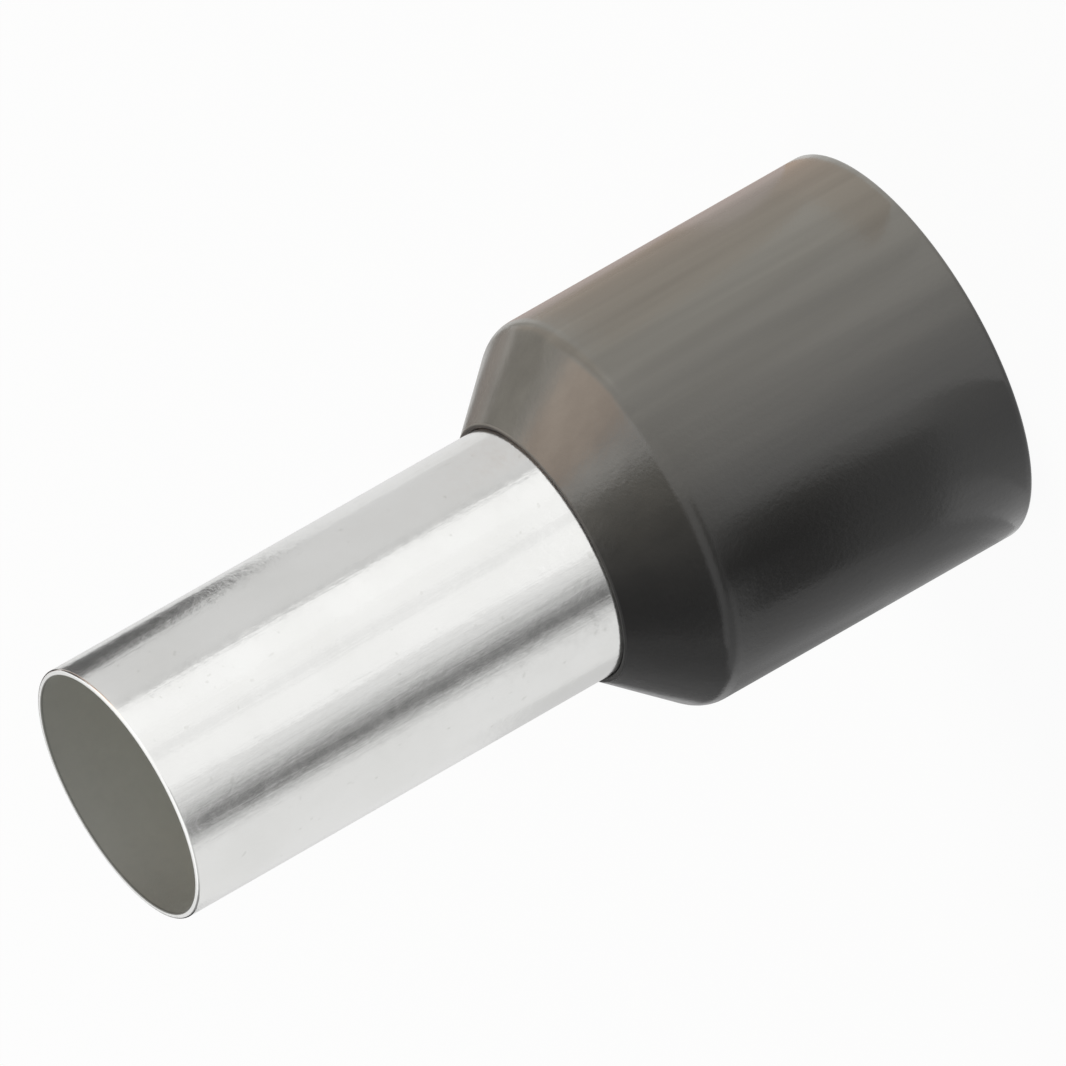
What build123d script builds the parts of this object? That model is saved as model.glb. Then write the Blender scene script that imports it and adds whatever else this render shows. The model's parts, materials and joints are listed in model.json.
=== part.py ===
"""Insulated wire-end ferrule for a stranded conductor of 35 square millimetres.

A thin tinned copper sleeve is held in a moulded plastic collar. The sleeve's wire end opens into a funnel that
lies against the inside of the collar's conical shoulder, so that it can't be pulled out forwards and guides the
strands into the tube. The ferrule stands on the collar's rim with the sleeve's mouth up, and the origin is the
centre of that rim. Lengths are in millimetres and angles in degrees.
"""

import os
from math import radians, sin, tan

from build123d import *

# Sleeve: a seamless tube of constant wall
sleeve_bore = 8.3
sleeve_wall = 0.2
sleeve_reach = 16.0  # bare length in front of the collar, where the crimp goes
mouth_outer_rounding = 0.08
mouth_inner_rounding = 0.04
throat_bend = 0.6  # radius of the tube's outside where it opens into the funnel
funnel_edge_gap = 0.1  # left between the funnel's edge and the collar's inner corner

# Collar: a moulded cup with a conical shoulder, open at both ends
collar_length = 14.0
collar_bore = 12.7
collar_wall = 0.4
draft_angle = 0.2  # taper of the outside, wider at the rim, for release from the mould
shoulder_angle = 41.25  # between the conical shoulder and the axis
shoulder_rounding = 0.9
inner_corner_rounding = 0.5
rim_outer_rounding = 0.15
rim_inner_rounding = 0.1
neck_land = 0.12  # straight stretch of the neck hole, which grips the sleeve
front_edge = 0.15  # radial thickness of the collar at its front, round the sleeve
front_outer_rounding = 0.03
front_inner_rounding = 0.1  # leaves a fine groove between the collar's front edge and the sleeve

# Grip: the collar follows the sleeve's outside all the way at this distance
grip_gap = 0.01

# Radii of the cylinders
sleeve_radius = sleeve_bore / 2 + sleeve_wall
neck_radius = sleeve_radius + grip_gap
front_radius = neck_radius + front_edge
bore_radius = collar_bore / 2
collar_radius = bore_radius + collar_wall

# Slopes
slope = tan(radians(shoulder_angle))
half_turn = tan(radians(shoulder_angle / 2))  # a rounded corner starts its radius times this from its point
draft = tan(radians(draft_angle))


def down_cone(start, radius):
    """The point with this radius, as (radius, height), down the shoulder's slope from a start point."""
    return radius, start[1] - (radius - start[0]) / slope


# Corner points as (radius, height), before they are rounded
mouth_corner = (sleeve_radius, collar_length + sleeve_reach)
front_corner = (front_radius, collar_length)
shoulder_corner = down_cone(front_corner, collar_radius)
rim_corner = (collar_radius + shoulder_corner[1] * draft, 0)

# Sleeve and collar bend together behind the neck's straight stretch, round one centre
bend_height = collar_length - front_inner_rounding - neck_land
sleeve_throat = (sleeve_radius, bend_height - throat_bend * half_turn)
collar_throat = (neck_radius, bend_height - (throat_bend - grip_gap) * half_turn)
inner_corner = down_cone(collar_throat, bore_radius)

# The funnel stops short of the rounding in the collar's inner corner
rounding_reach = inner_corner_rounding * half_turn * sin(radians(shoulder_angle))
funnel_edge = down_cone(sleeve_throat, bore_radius - rounding_reach - funnel_edge_gap)

# Sleeve: its outside line is thickened inwards by the wall and turned round the axis
with BuildPart() as sleeve:
    with BuildSketch(Plane.XZ) as sleeve_section:
        with BuildLine():
            FilletPolyline(mouth_corner, sleeve_throat, funnel_edge, radius=throat_bend)
            offset(amount=sleeve_wall, side=Side.RIGHT)
        make_face()
        for corner, rounding in ((-1, mouth_outer_rounding), (0, mouth_inner_rounding)):
            mouth_corners = sleeve_section.vertices().group_by(Axis.Y)[-1].sort_by(Axis.X)
            fillet(mouth_corners[corner], radius=rounding)
    revolve(axis=Axis.Z)
sleeve.part.label = "sleeve"
sleeve.part.color = Color(0.80, 0.80, 0.79)

# Collar: its section's corners in order, each with its rounding, turned round the axis
collar_corners = [
    ((bore_radius, 0), rim_inner_rounding),
    (rim_corner, rim_outer_rounding),
    (shoulder_corner, shoulder_rounding),
    (front_corner, front_outer_rounding),
    ((neck_radius, collar_length), front_inner_rounding),
    (collar_throat, throat_bend - grip_gap),
    (inner_corner, inner_corner_rounding),
]
with BuildPart() as collar:
    with BuildSketch(Plane.XZ):
        with BuildLine():
            FilletPolyline(
                *[point for point, rounding in collar_corners],
                radius=[rounding for point, rounding in collar_corners],
                close=True,
            )
        make_face()
    revolve(axis=Axis.Z)
collar.part.label = "collar"
collar.part.color = Color(0.24, 0.23, 0.22)

os.makedirs("parts", exist_ok=True)
for piece in (sleeve.part, collar.part):
    export_step(piece, f"parts/{piece.label}.step")
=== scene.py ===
"""Looks and studio stage of the wire ferrule.

The sleeve and the collar are turned again from the same outlines as their solids, with rings fine enough for
polished metal, and each stands for its own node. The ferrule stands on its collar's rim with the mouth up, as
the frame has it. Lengths are in metres. Angles are in radians, but the tables of papers, cards and lamps give
them in degrees. An azimuth of 0 is the camera's side, and one of 90 degrees is +X, which is the upper edge of
the ferrule in the picture.
"""

import json
from collections import namedtuple
from math import cos, hypot, pi, radians, sin, tan

import bmesh
import bpy
from bpy.props import FloatProperty, FloatVectorProperty, PointerProperty
from mathutils import Matrix, Vector


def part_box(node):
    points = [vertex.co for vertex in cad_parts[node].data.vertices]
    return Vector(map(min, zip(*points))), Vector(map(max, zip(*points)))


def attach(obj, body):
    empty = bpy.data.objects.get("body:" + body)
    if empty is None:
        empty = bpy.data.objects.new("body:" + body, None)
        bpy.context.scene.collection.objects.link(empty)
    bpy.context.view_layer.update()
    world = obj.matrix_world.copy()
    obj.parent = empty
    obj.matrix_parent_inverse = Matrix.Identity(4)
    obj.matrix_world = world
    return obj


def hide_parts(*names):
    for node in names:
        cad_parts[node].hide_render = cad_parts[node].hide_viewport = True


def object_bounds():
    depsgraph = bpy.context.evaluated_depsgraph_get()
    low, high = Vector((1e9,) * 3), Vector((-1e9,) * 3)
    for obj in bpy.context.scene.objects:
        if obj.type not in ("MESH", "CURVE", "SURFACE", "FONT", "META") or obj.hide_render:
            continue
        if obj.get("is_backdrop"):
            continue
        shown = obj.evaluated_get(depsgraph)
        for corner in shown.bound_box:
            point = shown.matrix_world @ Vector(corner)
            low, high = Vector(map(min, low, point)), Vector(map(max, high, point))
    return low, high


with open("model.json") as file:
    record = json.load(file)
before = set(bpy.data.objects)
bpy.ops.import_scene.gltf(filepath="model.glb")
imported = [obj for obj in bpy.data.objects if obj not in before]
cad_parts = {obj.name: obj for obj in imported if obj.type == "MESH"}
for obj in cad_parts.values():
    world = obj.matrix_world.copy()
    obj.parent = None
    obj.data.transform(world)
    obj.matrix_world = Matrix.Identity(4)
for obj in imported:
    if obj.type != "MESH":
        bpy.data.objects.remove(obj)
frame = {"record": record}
cad_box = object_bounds()

bl_info = {
    "name": "Wire Ferrule",
    "version": (1, 0, 0),
    "blender": (4, 5, 0),
    "location": "View3D > Sidebar > Ferrule",
    "description": "Turns the sleeve and the collar of an insulated wire ferrule and sets its stage",
    "category": "Add Mesh",
}

BODY = "root"
MM = 0.001

# Fineness of the turned meshes
STEPS_ROUND = 288
ARC_STEP = radians(7.5)
LONGEST_RUN = 1.0 * MM
SHARP_CORNER = radians(30)
LARGE_FACES_LEAD = 100  # weight at which the large faces set the shading

# The photograph's frame, which the camera reproduces
PHOTO_SIDE = 1066
SENSOR_WIDTH = 36.0  # millimetres


def mount_radius(name):
    """Radius of one of the record's mounts."""
    sizes = {mount["name"]: mount["dims"] for mount in frame["record"]["mounts"]}
    return sizes[name]["r_mm"] * MM


def length(name, default, description):
    """A length that a user may change."""
    return FloatProperty(
        name=name,
        default=default,
        description=description,
        min=0.0,
        unit="LENGTH",
        subtype="DISTANCE",
        precision=5,
    )


def angle(name, degrees, description):
    """An angle that a user may change."""
    return FloatProperty(
        name=name, default=radians(degrees), description=description, unit="ROTATION", subtype="ANGLE"
    )


def level(name, default, description):
    """A strength or a share that a user may change."""
    return FloatProperty(name=name, default=default, description=description, min=0.0)


def colour(name, default, description):
    """A colour that a user may change."""
    return FloatVectorProperty(
        name=name, default=default, description=description, subtype="COLOR", size=3, min=0.0, max=1.0
    )


# Sizes and colours


class SleeveSettings(bpy.types.PropertyGroup):
    """Sizes and colours of the tinned sleeve."""

    bore_radius: length("Bore radius", mount_radius("sleeve_bore"), "Radius of the tube's inside")
    outside_radius: length("Outside radius", mount_radius("sleeve_outside"), "Radius of the tube's outside")
    mouth_height: length("Mouth height", cad_box[1].z, "Height of the mouth above the collar's rim")
    mouth_outer_rounding: length("Mouth outer rounding", 0.08 * MM, "Rounding of the mouth's outer edge")
    mouth_inner_rounding: length("Mouth inner rounding", 0.04 * MM, "Rounding of the mouth's inner edge")
    throat_bend: length("Throat bend", 0.6 * MM, "Radius at which the tube's outside opens into the funnel")
    tin: colour("Tin", (0.90, 0.90, 0.885), "Bright tin on the outside of the sleeve")
    dull_tin: colour("Dull tin", (0.60, 0.60, 0.56), "Tin where it is greyer")
    bore_tin: colour("Bore tin", (0.70, 0.70, 0.65), "Dull tin in the bore")
    # Painted shade: the bore's tin is painted darker towards the mouth, down to the mouth reach, where more
    # light falls in
    mouth_painted_shade: colour("Mouth tin", (0.47, 0.47, 0.435), "Tin in the bore near the mouth, where it is duller")
    painted_shade_reach: length("Mouth reach", 3.4 * MM, "Depth at which the duller tin ends")
    # Painted shade: a thin painted shadow line on the tin just inside the mouth's edge
    painted_edge_shade: colour("Cut edge", (0.28, 0.28, 0.26), "Tin inside the mouth's edge, where the tube was cut")
    edge_shade_depth: length("Cut depth", 0.08 * MM, "How far the darker edge reaches into the mouth")


class CollarSettings(bpy.types.PropertyGroup):
    """Sizes and colours of the moulded collar."""

    bore_radius: length("Bore radius", mount_radius("wire_entry"), "Radius of the hole for the insulation")
    wall: length("Wall", 0.4 * MM, "Thickness of the skirt")
    height: length("Height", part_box("collar")[1].z, "Length of the collar along the axis")
    draft_angle: angle("Draft angle", 0.2, "Taper of the outside, wider at the rim")
    shoulder_angle: angle("Shoulder angle", 41.25, "Between the conical shoulder and the axis")
    shoulder_rounding: length("Shoulder rounding", 0.9 * MM, "Rounding between skirt and shoulder")
    inner_corner_rounding: length("Inner corner rounding", 0.5 * MM, "Rounding inside, under the shoulder")
    rim_outer_rounding: length("Rim outer rounding", 0.15 * MM, "Rounding of the rim's outer edge")
    rim_inner_rounding: length("Rim inner rounding", 0.1 * MM, "Rounding of the rim's inner edge")
    neck_land: length("Neck land", 0.12 * MM, "Straight stretch of the neck hole")
    front_edge: length("Front edge", 0.15 * MM, "Radial thickness of the collar's front round the sleeve")
    front_outer_rounding: length("Front outer rounding", 0.03 * MM, "Rounding of the front's outer edge")
    front_inner_rounding: length("Front inner rounding", 0.1 * MM, "Leaves a groove round the sleeve")
    grip_gap: length("Grip gap", 0.01 * MM, "Distance at which the collar follows the sleeve")
    funnel_edge_gap: length("Funnel edge gap", 0.1 * MM, "Room between the funnel and the inner corner")
    matt_edge: length("Matt edge", 0.05 * MM, "Height of the matt edge at the collar's front")
    plastic: colour("Plastic", (0.101, 0.099, 0.097), "Moulded plastic where it is paler")
    plastic_shade: colour("Plastic shade", (0.082, 0.0805, 0.079), "Moulded plastic where it is darker")


class StageSettings(bpy.types.PropertyGroup):
    """The camera, the floor and the light."""

    lens: level("Lens", 743.0, "Focal length in millimetres")
    elevation: angle("Elevation", 20.35, "Height of the camera over the horizon")
    axis_slope: angle("Axis slope", 29.68, "Slope of the ferrule's axis in the picture")
    mouth_distance: length("Mouth distance", 0.6776, "From the camera's plane to the middle of the mouth")
    mouth_across: level("Mouth across", 117.57, "Pixel column of the middle of the mouth")
    mouth_down: level("Mouth down", 794.93, "Pixel row of the middle of the mouth")
    floor_radius: length("Floor radius", 0.6, "Radius of the floor")
    floor: colour("Floor", (0.90, 0.90, 0.90), "Pale paper that the ferrule stands on")
    floor_bounce: level("Floor bounce", 0.22, "Share of its light that the floor throws back on the ferrule")
    whiteness: level("Whiteness", 0.95, "Share of the floor that is seen as plain white")
    whiteness_in_bore: level("Whiteness in bore", 0.30, "The same share for the floor inside the collar")
    mouth_card: level("Mouth card", 1.1, "Strength of the white card over the mouth")
    mouth_card_radius: length("Mouth card radius", 0.014, "Radius of the white card over the mouth")
    mouth_card_rise: length("Mouth card rise", 0.008, "Height of that card above the mouth")
    room_light: level("Room light", 0.14, "Even light from all round")


# Outlines and turned meshes


def rounded(corners):
    """Points of a closed outline from (radius, height, rounding) corners, with arcs and no long runs."""
    arcs = []
    for index, (radius, height, rounding) in enumerate(corners):
        here = Vector((radius, height))
        back = (Vector(corners[index - 1][:2]) - here).normalized()
        ahead = (Vector(corners[(index + 1) % len(corners)][:2]) - here).normalized()
        if rounding == 0:
            arcs.append([here])
            continue
        turn = pi - back.angle(ahead)
        reach = rounding * tan(turn / 2)
        centre = here + (back + ahead).normalized() * hypot(rounding, reach)
        start = here + back * reach - centre
        side = 1 if start.cross(here + ahead * reach - centre) > 0 else -1
        steps = max(2, round(turn / ARC_STEP))
        arcs.append([centre + Matrix.Rotation(side * turn * k / steps, 2) @ start for k in range(steps + 1)])
    points = []
    for arc, following in zip(arcs, arcs[1:] + arcs[:1]):
        points += arc
        run = following[0] - arc[-1]
        pieces = max(1, round(run.length / LONGEST_RUN))
        points += [arc[-1] + run * k / pieces for k in range(1, pieces)]
    return points


def turn_piece(name, outline, materials):
    """Turns a closed outline round the axis and returns the piece, smooth but for its sharp corners."""
    shape = bmesh.new()
    ring = [shape.verts.new((point.x, 0, point.y)) for point in outline]
    edges = [shape.edges.new(pair) for pair in zip(ring, ring[1:] + ring[:1])]
    bmesh.ops.spin(
        shape,
        geom=ring + edges,
        cent=(0, 0, 0),
        axis=(0, 0, 1),
        angle=2 * pi,
        steps=STEPS_ROUND,
        use_merge=True,
    )
    bmesh.ops.recalc_face_normals(shape, faces=shape.faces)
    mesh = bpy.data.meshes.new(name)
    shape.to_mesh(mesh)
    shape.free()
    mesh.shade_smooth()
    mesh.set_sharp_from_angle(angle=SHARP_CORNER)
    for material in materials:
        mesh.materials.append(material)
    piece = bpy.data.objects.new(name, mesh)
    bpy.context.scene.collection.objects.link(piece)
    weighted = piece.modifiers.new("even normals", "WEIGHTED_NORMAL")
    weighted.keep_sharp = True
    weighted.weight = LARGE_FACES_LEAD
    return piece


Throat = namedtuple("Throat", "sleeve collar")


def down_cone(start, radius, shoulder_angle):
    """The point with this radius down the shoulder's slope from a start point."""
    return radius, start[1] - (radius - start[0]) / tan(shoulder_angle)


def throats(sleeve, collar):
    """Corners where the sleeve and the collar's hole bend from the tube into the cone, round one centre."""
    half_turn = tan(collar.shoulder_angle / 2)
    bend_height = collar.height - collar.front_inner_rounding - collar.neck_land
    hole_radius = sleeve.outside_radius + collar.grip_gap
    hole_bend = sleeve.throat_bend - collar.grip_gap
    return Throat(
        (sleeve.outside_radius, bend_height - sleeve.throat_bend * half_turn),
        (hole_radius, bend_height - hole_bend * half_turn),
    )


def sleeve_outline(sleeve, collar):
    """Section of the sleeve: a wall of constant thickness that opens into the funnel."""
    slope = collar.shoulder_angle
    wall = sleeve.outside_radius - sleeve.bore_radius
    throat = throats(sleeve, collar).sleeve
    rounding_reach = collar.inner_corner_rounding * tan(slope / 2) * sin(slope)
    funnel_radius = collar.bore_radius - rounding_reach - collar.funnel_edge_gap
    funnel_edge = down_cone(throat, funnel_radius, slope)
    return rounded([
        (sleeve.outside_radius, sleeve.mouth_height, sleeve.mouth_outer_rounding),
        (*throat, sleeve.throat_bend),
        (*funnel_edge, 0),
        (funnel_edge[0] - wall * cos(slope), funnel_edge[1] - wall * sin(slope), 0),
        (sleeve.bore_radius, throat[1] - wall * tan(slope / 2), sleeve.throat_bend + wall),
        (sleeve.bore_radius, sleeve.mouth_height, sleeve.mouth_inner_rounding),
    ])


def collar_outline(sleeve, collar):
    """Section of the collar: skirt, conical shoulder and neck."""
    slope = collar.shoulder_angle
    throat = throats(sleeve, collar).collar
    skirt_radius = collar.bore_radius + collar.wall
    front_corner = (throat[0] + collar.front_edge, collar.height)
    shoulder_corner = down_cone(front_corner, skirt_radius, slope)
    rim_radius = skirt_radius + shoulder_corner[1] * tan(collar.draft_angle)
    return rounded([
        (collar.bore_radius, 0, collar.rim_inner_rounding),
        (rim_radius, 0, collar.rim_outer_rounding),
        (*shoulder_corner, collar.shoulder_rounding),
        (*front_corner, collar.front_outer_rounding),
        (throat[0], collar.height, collar.front_inner_rounding),
        (*throat, sleeve.throat_bend - collar.grip_gap),
        (*down_cone(throat, collar.bore_radius, slope), collar.inner_corner_rounding),
    ])


# Materials

# The Mix node's sockets for colours, which share their names with those for numbers
MIX_SHARE = 0
MIX_FIRST = 6
MIX_SECOND = 7
MIX_RESULT = 2

# How far the noise is drawn out along the axis
DRAWN_TUBE = (1, 1, 0.03)
FLOWING_PLASTIC = (1, 1, 0.06)

# Depth of the finest relief
TIN_RELIEF = 0.0075 * MM
BORE_RELIEF = 0.001 * MM
PLASTIC_RELIEF = 0.006 * MM

# Greyness of the tin's clouds and specks, and the draw marks' part in its relief
CLOUD_GREY = 0.12
SPECK_GREY = 0.2
DRAW_MARK_PART = 0.7

BORE_FINISH = 1  # place of the bore's tin among the sleeve's two finishes
PLASTIC_IOR = 1.56
MATT_ROUGHNESS = 0.4  # added to the plastic's own roughness on its matt edge


def new_material(name):
    """A material with an empty node tree, and that tree."""
    material = bpy.data.materials.new(name)
    material.use_nodes = True
    material.node_tree.nodes.clear()
    return material, material.node_tree


def add_node(tree, kind, inputs=None, **settings):
    """Adds a node. Each input is a plain value or the output of another node."""
    node = tree.nodes.new(kind)
    for name, value in settings.items():
        setattr(node, name, value)
    for name, value in (inputs or {}).items():
        if isinstance(value, bpy.types.NodeSocket):
            tree.links.new(value, node.inputs[name])
        else:
            node.inputs[name].default_value = value
    return node


def show(tree, shader, output="ShaderNodeOutputMaterial"):
    """Ends a node tree in this shader."""
    add_node(tree, output, {"Surface": shader.outputs[0]})


def place(tree):
    """Where a point lies, in the piece's own space."""
    return add_node(tree, "ShaderNodeTexCoord").outputs["Object"]


def noise(tree, per_metre, detail, roughness=0.5, stretch=(1, 1, 1)):
    """Noise with this many features to the metre, squeezed by a stretch."""
    mapping = add_node(tree, "ShaderNodeMapping", {"Vector": place(tree), "Scale": stretch})
    texture = add_node(
        tree,
        "ShaderNodeTexNoise",
        {"Vector": mapping.outputs["Vector"], "Scale": per_metre, "Detail": detail, "Roughness": roughness},
    )
    return texture.outputs["Fac"]


def spread(tree, value, low, high, to_low=0.0, to_high=1.0):
    """Maps a value from one range to another and keeps it there."""
    inputs = {"Value": value, "From Min": low, "From Max": high, "To Min": to_low, "To Max": to_high}
    return add_node(tree, "ShaderNodeMapRange", inputs).outputs["Result"]


def arithmetic(tree, operation, first, second):
    """One sum, product or the like of two values."""
    return add_node(tree, "ShaderNodeMath", {0: first, 1: second}, operation=operation).outputs[0]


def add_part(tree, base, part, value):
    """A value with a part of another added to it."""
    return arithmetic(tree, "ADD", base, arithmetic(tree, "MULTIPLY", value, part))


def height_over_rim(tree):
    """How high a point lies over the collar's rim."""
    return add_node(tree, "ShaderNodeSeparateXYZ", {"Vector": place(tree)}).outputs["Z"]


def near_top(tree, top, depth):
    """1 close under a top edge and 0 where a point lies deeper than this under it."""
    return spread(tree, height_over_rim(tree), top - depth, top - depth / 2)


def blend_colours(tree, share, first, second):
    """A mix of two colours, each of them plain or the output of another node."""
    colours = [part if isinstance(part, bpy.types.NodeSocket) else (*part, 1) for part in (first, second)]
    inputs = {MIX_SHARE: share, MIX_FIRST: colours[0], MIX_SECOND: colours[1]}
    return add_node(tree, "ShaderNodeMix", inputs, data_type="RGBA").outputs[MIX_RESULT]


def relief(tree, height, depth):
    """Small relief of a height between 0 and 1, this deep."""
    return add_node(tree, "ShaderNodeBump", {"Height": height, "Distance": depth}).outputs["Normal"]


def bright_tin(settings):
    """Electroplated tin: bright, faintly mottled, with fine draw marks along the tube and a few specks."""
    material, tree = new_material("bright tin")
    mottle = noise(tree, 3200, detail=4, roughness=0.6)
    clouds = spread(tree, noise(tree, 420, detail=3), 0.4, 0.75)
    draw_marks = noise(tree, 5200, detail=3, stretch=DRAWN_TUBE)
    specks = spread(tree, noise(tree, 3200, detail=1), 0.72, 0.78)
    greyness = add_part(tree, arithmetic(tree, "MULTIPLY", clouds, CLOUD_GREY), SPECK_GREY, specks)
    uneven = add_part(tree, mottle, DRAW_MARK_PART, draw_marks)
    finish = {
        "Base Color": blend_colours(tree, greyness, settings.tin, settings.dull_tin),
        "Metallic": 1.0,
        "Roughness": spread(tree, mottle, 0.3, 0.7, to_low=0.15, to_high=0.22),
        "Normal": relief(tree, uneven, TIN_RELIEF),
    }
    show(tree, add_node(tree, "ShaderNodeBsdfPrincipled", finish))
    return material


def bore_tin(settings):
    """Tin inside the tube: dull and grey, with painted shade that darkens it towards the mouth and a painted
    shadow line just inside the mouth's edge.
    """
    material, tree = new_material("bore tin")
    mottle = noise(tree, 2400, detail=3)
    mouth = settings.mouth_height
    # Painted shade: darker tin towards the mouth, where more light falls in
    mouth_shade = spread(tree, height_over_rim(tree), mouth - settings.painted_shade_reach, mouth)
    tin = blend_colours(tree, mouth_shade, settings.bore_tin, settings.mouth_painted_shade)
    # Painted shade: a thin dark shadow line just inside the mouth's edge
    cut = near_top(tree, mouth, settings.edge_shade_depth)
    finish = {
        "Base Color": blend_colours(tree, cut, tin, settings.painted_edge_shade),
        "Metallic": 1.0,
        "Roughness": spread(tree, mottle, 0.3, 0.7, to_low=0.65, to_high=0.72),
        "Normal": relief(tree, mottle, BORE_RELIEF),
    }
    show(tree, add_node(tree, "ShaderNodeBsdfPrincipled", finish))
    return material


def moulded_plastic(settings):
    """Semi-gloss moulded plastic with a fine grain, faint flow lines along the axis and a matt front edge."""
    material, tree = new_material("moulded plastic")
    flow = noise(tree, 900, detail=3, stretch=FLOWING_PLASTIC)
    grain = noise(tree, 5200, detail=3, roughness=0.6)
    edge = near_top(tree, settings.height, settings.matt_edge)
    gloss = spread(tree, flow, 0.3, 0.7, to_low=0.19, to_high=0.25)
    shade = spread(tree, flow, 0.35, 0.65)
    finish = {
        "Base Color": blend_colours(tree, shade, settings.plastic, settings.plastic_shade),
        "Roughness": add_part(tree, gloss, MATT_ROUGHNESS, edge),
        "IOR": PLASTIC_IOR,
        "Normal": relief(tree, arithmetic(tree, "ADD", grain, flow), PLASTIC_RELIEF),
    }
    show(tree, add_node(tree, "ShaderNodeBsdfPrincipled", finish))
    return material


def seen_directly(tree):
    """1 for what is seen straight, in a reflection or through glass, and 0 for light on the object."""
    path = add_node(tree, "ShaderNodeLightPath")
    seen = arithmetic(tree, "MAXIMUM", path.outputs["Is Camera Ray"], path.outputs["Is Glossy Ray"])
    return arithmetic(tree, "MAXIMUM", seen, path.outputs["Is Transmission Ray"])


def floor_paper(settings, whiteness):
    """Pale paper, part of which looks plain white and the rest of which takes the ferrule's shadow."""
    material, tree = new_material("floor paper")
    seen = seen_directly(tree)
    bounce = [settings.floor_bounce * part for part in settings.floor]
    tone = blend_colours(tree, seen, bounce, settings.floor)
    paper = add_node(tree, "ShaderNodeBsdfDiffuse", {"Color": tone})
    white = add_node(tree, "ShaderNodeEmission", {"Color": (1, 1, 1, 1), "Strength": 1.0})
    share = arithmetic(tree, "MULTIPLY", seen, whiteness)
    show(tree, add_node(tree, "ShaderNodeMixShader", {0: share, 1: paper.outputs[0], 2: white.outputs[0]}))
    material.cycles.emission_sampling = "NONE"
    return material


def card_paper(grey, tint):
    """Even card for the reflections, which glows with this strength."""
    material, tree = new_material(f"card {grey:.2f}")
    show(tree, add_node(tree, "ShaderNodeEmission", {"Color": (*tint, 1), "Strength": grey}))
    material.cycles.emission_sampling = "NONE"
    return material


# Stage


def towards(azimuth, elevation=0.0):
    """Direction from the axis to this azimuth and elevation."""
    return Vector((sin(azimuth) * cos(elevation), -cos(azimuth) * cos(elevation), sin(elevation)))


def stage_mesh(name, points, material):
    """A flat stage piece with this outline."""
    mesh = bpy.data.meshes.new(name)
    mesh.from_pydata(points, [], [range(len(points))])
    mesh.materials.append(material)
    piece = bpy.data.objects.new(name, mesh)
    bpy.context.scene.collection.objects.link(piece)
    piece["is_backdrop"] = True
    return piece


def disc(radius, height):
    """Points of a level circle round the axis."""
    turns = [2 * pi * k / STEPS_ROUND for k in range(STEPS_ROUND)]
    return [towards(turn) * radius + Vector((0, 0, height)) for turn in turns]


def seen_in_reflections_only(piece):
    """Hides a card from everything but reflections, so it takes no light from the ferrule."""
    piece.visible_camera = False
    piece.visible_diffuse = False
    piece.visible_transmission = False
    piece.visible_volume_scatter = False
    piece.visible_shadow = False


# Tints of the cards and lamps
NEUTRAL = (1.0, 1.0, 1.0)
WARM = (1.0, 0.96, 0.845)
TAUPE = (1.0, 0.72, 0.56)
MAUVE = (1.0, 0.81, 0.77)

Strip = namedtuple("Strip", "name near far start end grey tint", defaults=(NEUTRAL,))
Panel = namedtuple("Panel", "name azimuth elevation distance width height grey tint", defaults=(NEUTRAL,))
Lamp = namedtuple("Lamp", "name azimuth elevation distance sides power colour")

# Papers laid on the floor round the ferrule, from one azimuth to another. The collar mirrors what lies near
# it, and the sleeve what lies beyond.
PAPER = 0.05 * MM  # thickness
PAPER_STEP = 3  # degrees to a step along a paper's curved edges
FOOT = 7 * MM
MIDWAY = 24 * MM
NEAR = 36 * MM
FAR = 140 * MM
STRIPS = (
    Strip("collar_front", FOOT, NEAR, -24, 24, 1.28),
    Strip("collar_side", FOOT, NEAR, 24, 50, 1.05),
    Strip("collar_side_upper", FOOT, NEAR, 50, 76, 0.72),
    Strip("collar_upper", FOOT, NEAR, 76, 137, 0.45, TAUPE),
    Strip("collar_upper_edge", FOOT, NEAR, 137, 180, 0.66, MAUVE),
    Strip("collar_dark_near", 14 * MM, MIDWAY, -84, -34, 0.45),
    Strip("collar_dark_far", MIDWAY, NEAR, -84, -32, 0.08),
    Strip("collar_lower", FOOT, NEAR, -134, -84, 0.60),
    Strip("collar_lower_edge", FOOT, NEAR, -180, -134, 0.40),
    Strip("sleeve_band_edge", NEAR, FAR, -72, -65, 0.66),
    Strip("sleeve_band_lower", NEAR, FAR, -65, -58, 0.40),
    Strip("sleeve_band_core", NEAR, FAR, -58, -50, 0.15),
    Strip("sleeve_band_upper", NEAR, FAR, -50, -43, 0.31),
    Strip("sleeve_fade", NEAR, FAR, -43, -35, 0.52),
    Strip("sleeve_pale", NEAR, FAR, -35, -27, 0.70),
    Strip("sleeve_paler", NEAR, FAR, -27, -18, 0.78),
    Strip("sleeve_line", NEAR, FAR, 9, 18, 0.86),
    Strip("sleeve_bright", NEAR, FAR, 34, 62, 1.03),
    Strip("sleeve_border", NEAR, FAR, 62, 68, 0.54),
    Strip("sleeve_upper", NEAR, FAR, 68, 128, 0.68),
    Strip("sleeve_upper_edge", NEAR, FAR, 128, 180, 0.80),
    Strip("sleeve_lower", NEAR, FAR, -156, -72, 0.80),
    Strip("sleeve_lower_edge", NEAR, FAR, -180, -156, 0.75),
)

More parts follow.
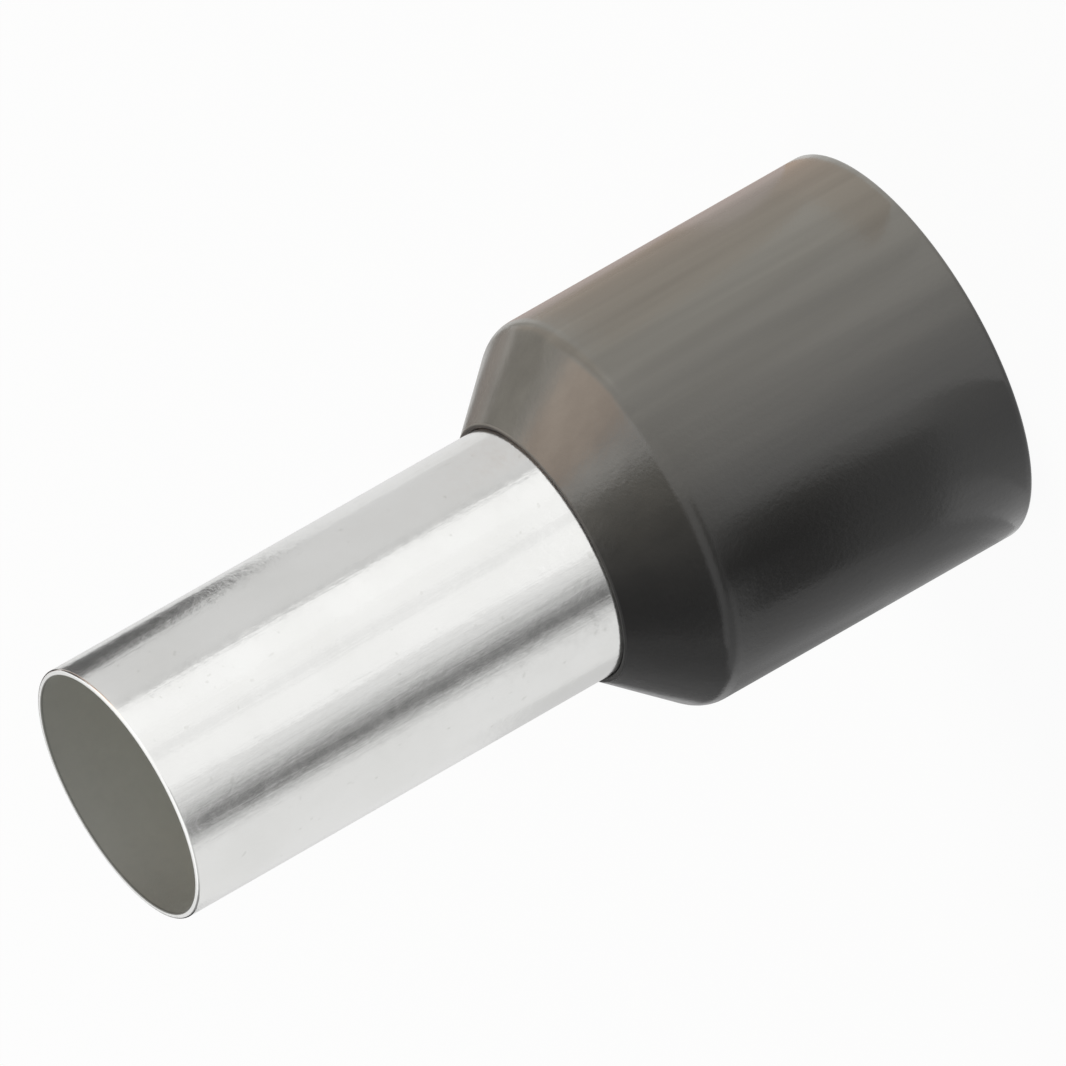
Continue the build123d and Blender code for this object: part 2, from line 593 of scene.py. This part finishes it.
# Papers on top of the others: four at the collar's foot, which its skirt mirrors near the rim, two for the
# dark streak beside the mouth, two far behind, and one for the sleeve's lower edge near the collar
OVERLAYS = (
    Strip("foot_upper", FOOT, 16 * MM, 98, 180, 0.66, MAUVE),
    Strip("foot_side", FOOT, 10.5 * MM, 38, 98, 0.62, TAUPE),
    Strip("foot_lower", FOOT, 16 * MM, -180, -98, 0.50),
    Strip("foot_dark", FOOT, 14 * MM, -62, -22, 0.80),
    Strip("streak_narrow", 68 * MM, 77 * MM, 124, 148, 0.13),
    Strip("streak_wide", 77 * MM, FAR, 113, 148, 0.11),
    Strip("behind_upper", 95 * MM, 240 * MM, 148, 180, 0.10, MAUVE),
    Strip("behind_lower", 95 * MM, 240 * MM, -180, -145, 0.10),
    Strip("edge_grey", NEAR, 52 * MM, -170, -122, 0.64),
)

# Cards that hang round the ferrule and face its middle. The cone mirrors the far ones, and the groove and its
# lip mirror the two near ones behind.
PANELS = (
    Panel("card_bright", 45, 53, 0.20, 0.12, 0.12, 2.0),
    Panel("card_taupe", 79, 47, 0.19, 0.13, 0.12, 2.15, TAUPE),
    Panel("card_side", 128, 22, 0.20, 0.10, 0.12, 0.05),
    Panel("card_side_edge", 162, 4, 0.20, 0.12, 0.10, 0.32, MAUVE),
    Panel("card_side_low", 105, 8, 0.20, 0.30, 0.11, 0.40, TAUPE),
    Panel("card_shade_top", 0, 66, 0.20, 0.16, 0.12, 0.02),
    Panel("card_shade", -72, 58, 0.20, 0.30, 0.19, 0.13),
    Panel("card_shade_low", -134, 16, 0.20, 0.18, 0.14, 0.27),
    Panel("card_lower_edge", -165, 3, 0.19, 0.12, 0.08, 0.22),
    Panel("card_dim", -56, 31, 0.21, 0.40, 0.13, 0.78),
    Panel("card_low", -43, 3, 0.19, 0.20, 0.07, 0.30),
    Panel("card_low_side", -99, 4, 0.19, 0.20, 0.08, 0.62),
    Panel("card_groove", 180, 21, 0.031, 0.044, 0.014, 0.01),
    Panel("card_lip", 180, 42, 0.040, 0.030, 0.014, 0.82),
)

LAMPS = (
    Lamp("key_softbox", 74, 5, 0.40, (0.26, 0.12), 3.95, WARM),
    Lamp("back_softbox", -170, 10, 0.40, (0.26, 0.26), 1.4, NEUTRAL),
)


def lay_strip(strip, height):
    """Lays one grey paper on the floor."""
    width = strip.end - strip.start
    steps = max(2, round(width / PAPER_STEP))
    turns = [radians(strip.start + width * k / steps) for k in range(steps + 1)]
    rise = Vector((0, 0, height))
    outline = [towards(turn) * strip.near + rise for turn in turns]
    outline += [towards(turn) * strip.far + rise for turn in reversed(turns)]
    seen_in_reflections_only(stage_mesh(strip.name, outline, card_paper(strip.grey, strip.tint)))


def hang_panel(panel, middle):
    """Hangs one card so that it faces the ferrule."""
    out = towards(radians(panel.azimuth), radians(panel.elevation))
    across = Vector((0, 0, 1)).cross(out).normalized()
    up = out.cross(across)
    centre = middle + out * panel.distance
    corners = [
        centre + across * side * panel.width / 2 + up * end * panel.height / 2
        for side, end in ((-1, -1), (1, -1), (1, 1), (-1, 1))
    ]
    seen_in_reflections_only(stage_mesh(panel.name, corners, card_paper(panel.grey, panel.tint)))


def hang_lamp(lamp, middle):
    """Hangs one softbox that faces the ferrule and isn't mirrored in it."""
    light = bpy.data.lights.new(lamp.name, "AREA")
    light.shape = "RECTANGLE"
    light.size, light.size_y = lamp.sides
    light.energy = lamp.power
    light.color = lamp.colour
    softbox = bpy.data.objects.new(lamp.name, light)
    out = towards(radians(lamp.azimuth), radians(lamp.elevation))
    softbox.location = middle + out * lamp.distance
    softbox.rotation_mode = "QUATERNION"
    softbox.rotation_quaternion = out.to_track_quat("Z", "Y")
    softbox.visible_glossy = False
    bpy.context.scene.collection.objects.link(softbox)


def light_room(strength):
    """White surroundings for the camera and for reflections, and this even light on the object."""
    world = bpy.data.worlds.new("room")
    world.use_nodes = True
    tree = world.node_tree
    tree.nodes.clear()
    share = spread(tree, seen_directly(tree), 0, 1, strength, 1.0)
    background = add_node(tree, "ShaderNodeBackground", {"Color": (1, 1, 1, 1), "Strength": share})
    show(tree, background, output="ShaderNodeOutputWorld")
    bpy.context.scene.world = world


def place_camera(settings, mouth):
    """Puts the camera so that the middle of the mouth falls on its pixel and the axis has its slope."""
    data = bpy.data.cameras.new("camera")
    data.lens = settings.lens
    data.sensor_width = SENSOR_WIDTH
    camera = bpy.data.objects.new("camera", data)
    bpy.context.scene.collection.objects.link(camera)
    tilt = Matrix.Rotation(pi / 2 - settings.elevation, 3, "X")
    roll = Matrix.Rotation(-pi / 2 - settings.axis_slope, 3, "Z")
    turn = tilt @ roll
    pixel = settings.mouth_distance * SENSOR_WIDTH / settings.lens / PHOTO_SIDE
    right = (settings.mouth_across - PHOTO_SIDE / 2) * pixel
    up = (PHOTO_SIDE / 2 - settings.mouth_down) * pixel
    camera.location = mouth - turn @ Vector((right, up, -settings.mouth_distance))
    camera.rotation_euler = turn.to_euler()
    bpy.context.scene.camera = camera


# Operators


class FERRULE_OT_turn_sleeve(bpy.types.Operator):
    """Turns the tinned sleeve and lets it stand for its node."""

    bl_idname = "ferrule.turn_sleeve"
    bl_label = "Turn Sleeve"

    def execute(self, context):
        sleeve = context.scene.ferrule_sleeve
        outline = sleeve_outline(sleeve, context.scene.ferrule_collar)
        piece = turn_piece("tinned_sleeve", outline, [bright_tin(sleeve), bore_tin(sleeve)])
        inside = sleeve.bore_radius + sleeve.mouth_inner_rounding
        for face in piece.data.polygons:
            facing_axis = face.normal.x * face.center.x + face.normal.y * face.center.y < 0
            if facing_axis and hypot(face.center.x, face.center.y) < inside:
                face.material_index = BORE_FINISH
        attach(piece, BODY)
        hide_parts("sleeve")
        return {"FINISHED"}


class FERRULE_OT_turn_collar(bpy.types.Operator):
    """Turns the moulded collar and lets it stand for its node."""

    bl_idname = "ferrule.turn_collar"
    bl_label = "Turn Collar"

    def execute(self, context):
        collar = context.scene.ferrule_collar
        outline = collar_outline(context.scene.ferrule_sleeve, collar)
        piece = turn_piece("moulded_collar", outline, [moulded_plastic(collar)])
        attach(piece, BODY)
        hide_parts("collar")
        return {"FINISHED"}


class FERRULE_OT_set_stage(bpy.types.Operator):
    """Lays the floor, hangs the cards and lamps, and places the camera."""

    bl_idname = "ferrule.set_stage"
    bl_label = "Set Stage"

    def execute(self, context):
        stage = context.scene.ferrule_stage
        low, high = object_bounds()
        middle = (low + high) / 2
        mouth = Vector((0, 0, high.z))
        stage_mesh("floor", disc(stage.floor_radius, low.z), floor_paper(stage, stage.whiteness))
        inside = disc(context.scene.ferrule_collar.bore_radius, low.z + PAPER)
        stage_mesh("floor_in_collar", inside, floor_paper(stage, stage.whiteness_in_bore))
        for strip in STRIPS:
            lay_strip(strip, low.z + PAPER)
        for strip in OVERLAYS:
            lay_strip(strip, low.z + 2 * PAPER)
        for panel in PANELS:
            hang_panel(panel, middle)
        card = disc(stage.mouth_card_radius, high.z + stage.mouth_card_rise)
        seen_in_reflections_only(stage_mesh("card_mouth", card, card_paper(stage.mouth_card, NEUTRAL)))
        for lamp in LAMPS:
            hang_lamp(lamp, middle)
        light_room(stage.room_light)
        place_camera(stage, mouth)
        context.scene.view_settings.view_transform = "Standard"
        return {"FINISHED"}


class FERRULE_PT_sidebar(bpy.types.Panel):
    """Lists the ferrule's operators, sizes and colours."""

    bl_idname = "FERRULE_PT_sidebar"
    bl_label = "Wire Ferrule"
    bl_space_type = "VIEW_3D"
    bl_region_type = "UI"
    bl_category = "Ferrule"

    def draw(self, context):
        groups = (
            (context.scene.ferrule_sleeve, FERRULE_OT_turn_sleeve),
            (context.scene.ferrule_collar, FERRULE_OT_turn_collar),
            (context.scene.ferrule_stage, FERRULE_OT_set_stage),
        )
        for settings, operator in groups:
            box = self.layout.box()
            for name in settings.__annotations__:
                box.prop(settings, name)
            box.operator(operator.bl_idname)


CLASSES = (
    SleeveSettings,
    CollarSettings,
    StageSettings,
    FERRULE_OT_turn_sleeve,
    FERRULE_OT_turn_collar,
    FERRULE_OT_set_stage,
    FERRULE_PT_sidebar,
)
SETTINGS = {
    "ferrule_sleeve": SleeveSettings,
    "ferrule_collar": CollarSettings,
    "ferrule_stage": StageSettings,
}


def register():
    """Makes the settings, operators and panel known to Blender."""
    for made in CLASSES:
        bpy.utils.register_class(made)
    for name, group in SETTINGS.items():
        setattr(bpy.types.Scene, name, PointerProperty(type=group))


def unregister():
    """Takes them away again."""
    for name in SETTINGS:
        delattr(bpy.types.Scene, name)
    for made in reversed(CLASSES):
        bpy.utils.unregister_class(made)


def main():
    """Builds the ferrule and its stage."""
    register()
    bpy.ops.ferrule.turn_sleeve()
    bpy.ops.ferrule.turn_collar()
    bpy.ops.ferrule.set_stage()


if __name__ == "__main__":
    main()
